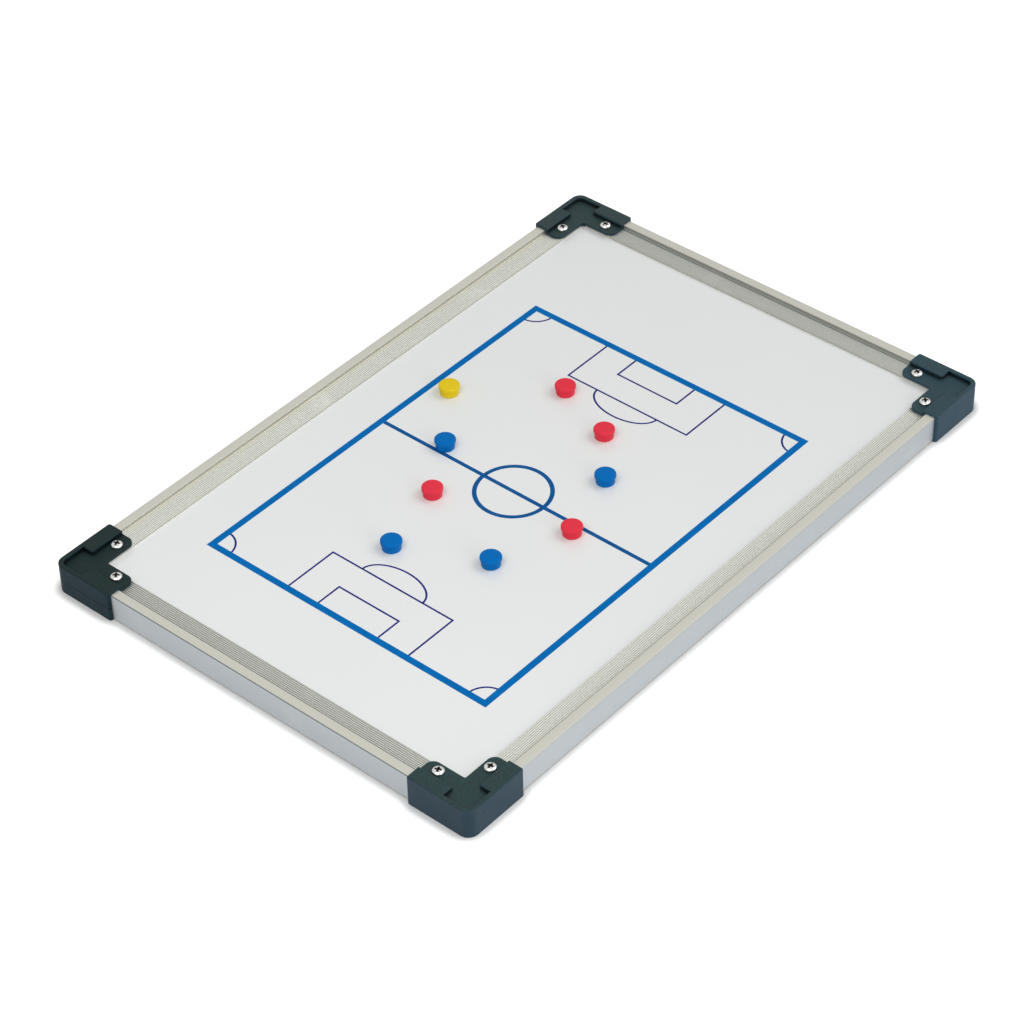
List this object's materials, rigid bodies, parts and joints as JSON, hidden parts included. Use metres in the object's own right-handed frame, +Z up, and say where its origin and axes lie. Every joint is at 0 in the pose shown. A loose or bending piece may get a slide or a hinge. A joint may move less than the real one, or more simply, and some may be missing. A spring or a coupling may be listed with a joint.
{
  "type": "tactics board",
  "caption": "Framed magnetic tactics board with a printed pitch, fluted aluminium rails, black corner caps and loose magnetic counters that lift off the face.",
  "frame": {"origin": "middle of the board's outline, on the surface that its corner caps lie on", "axes": "+X across the short side, +Y along the long side towards the wider margin, +Z up out of the face"},
  "size_m": [0.304, 0.454, 0.0197],
  "materials": {
    "white_lacquer": "smooth dry-wipe lacquer",
    "core_board": "raw fibreboard",
    "zinc_sheet": "galvanised",
    "anodised_rail": "satin anodised",
    "cap_plastic": "satin moulded",
    "screw_plating": "bright plated",
    "red_plastic": "glossy",
    "blue_plastic": "glossy",
    "yellow_plastic": "glossy",
    "ferrite": "sintered, dull"
  },
  "bodies": {
    "board": {"face_sheet": "white_lacquer", "core_panel": "core_board", "back_sheet": "zinc_sheet", "rail_left": "anodised_rail", "rail_front": "anodised_rail", "rail_right": "anodised_rail", "rail_back": "anodised_rail", "cap_front_left": "cap_plastic", "cap_front_right": "cap_plastic", "cap_back_right": "cap_plastic", "cap_back_left": "cap_plastic", "cap_screws": "screw_plating"},
    "red_counter_1": {"red_counter_1_cap": "red_plastic", "red_counter_1_magnet": "ferrite"},
    "red_counter_2": {"red_counter_2_cap": "red_plastic", "red_counter_2_magnet": "ferrite"},
    "red_counter_3": {"red_counter_3_cap": "red_plastic", "red_counter_3_magnet": "ferrite"},
    "red_counter_4": {"red_counter_4_cap": "red_plastic", "red_counter_4_magnet": "ferrite"},
    "blue_counter_1": {"blue_counter_1_cap": "blue_plastic", "blue_counter_1_magnet": "ferrite"},
    "blue_counter_2": {"blue_counter_2_cap": "blue_plastic", "blue_counter_2_magnet": "ferrite"},
    "blue_counter_3": {"blue_counter_3_cap": "blue_plastic", "blue_counter_3_magnet": "ferrite"},
    "blue_counter_4": {"blue_counter_4_cap": "blue_plastic", "blue_counter_4_magnet": "ferrite"},
    "yellow_counter_1": {"yellow_counter_1_cap": "yellow_plastic", "yellow_counter_1_magnet": "ferrite"}
  },
  "joints": [
    {"name": "red_counter_1_lift", "type": "slide", "parent": "board", "child": "red_counter_1", "axis": [0, 0, 1], "range_m": [0, 0.06]},
    {"name": "red_counter_2_lift", "type": "slide", "parent": "board", "child": "red_counter_2", "axis": [0, 0, 1], "range_m": [0, 0.06]},
    {"name": "red_counter_3_lift", "type": "slide", "parent": "board", "child": "red_counter_3", "axis": [0, 0, 1], "range_m": [0, 0.06]},
    {"name": "red_counter_4_lift", "type": "slide", "parent": "board", "child": "red_counter_4", "axis": [0, 0, 1], "range_m": [0, 0.06]},
    {"name": "blue_counter_1_lift", "type": "slide", "parent": "board", "child": "blue_counter_1", "axis": [0, 0, 1], "range_m": [0, 0.06]},
    {"name": "blue_counter_2_lift", "type": "slide", "parent": "board", "child": "blue_counter_2", "axis": [0, 0, 1], "range_m": [0, 0.06]},
    {"name": "blue_counter_3_lift", "type": "slide", "parent": "board", "child": "blue_counter_3", "axis": [0, 0, 1], "range_m": [0, 0.06]},
    {"name": "blue_counter_4_lift", "type": "slide", "parent": "board", "child": "blue_counter_4", "axis": [0, 0, 1], "range_m": [0, 0.06]},
    {"name": "yellow_counter_1_lift", "type": "slide", "parent": "board", "child": "yellow_counter_1", "axis": [0, 0, 1], "range_m": [0, 0.06]}
  ]
}
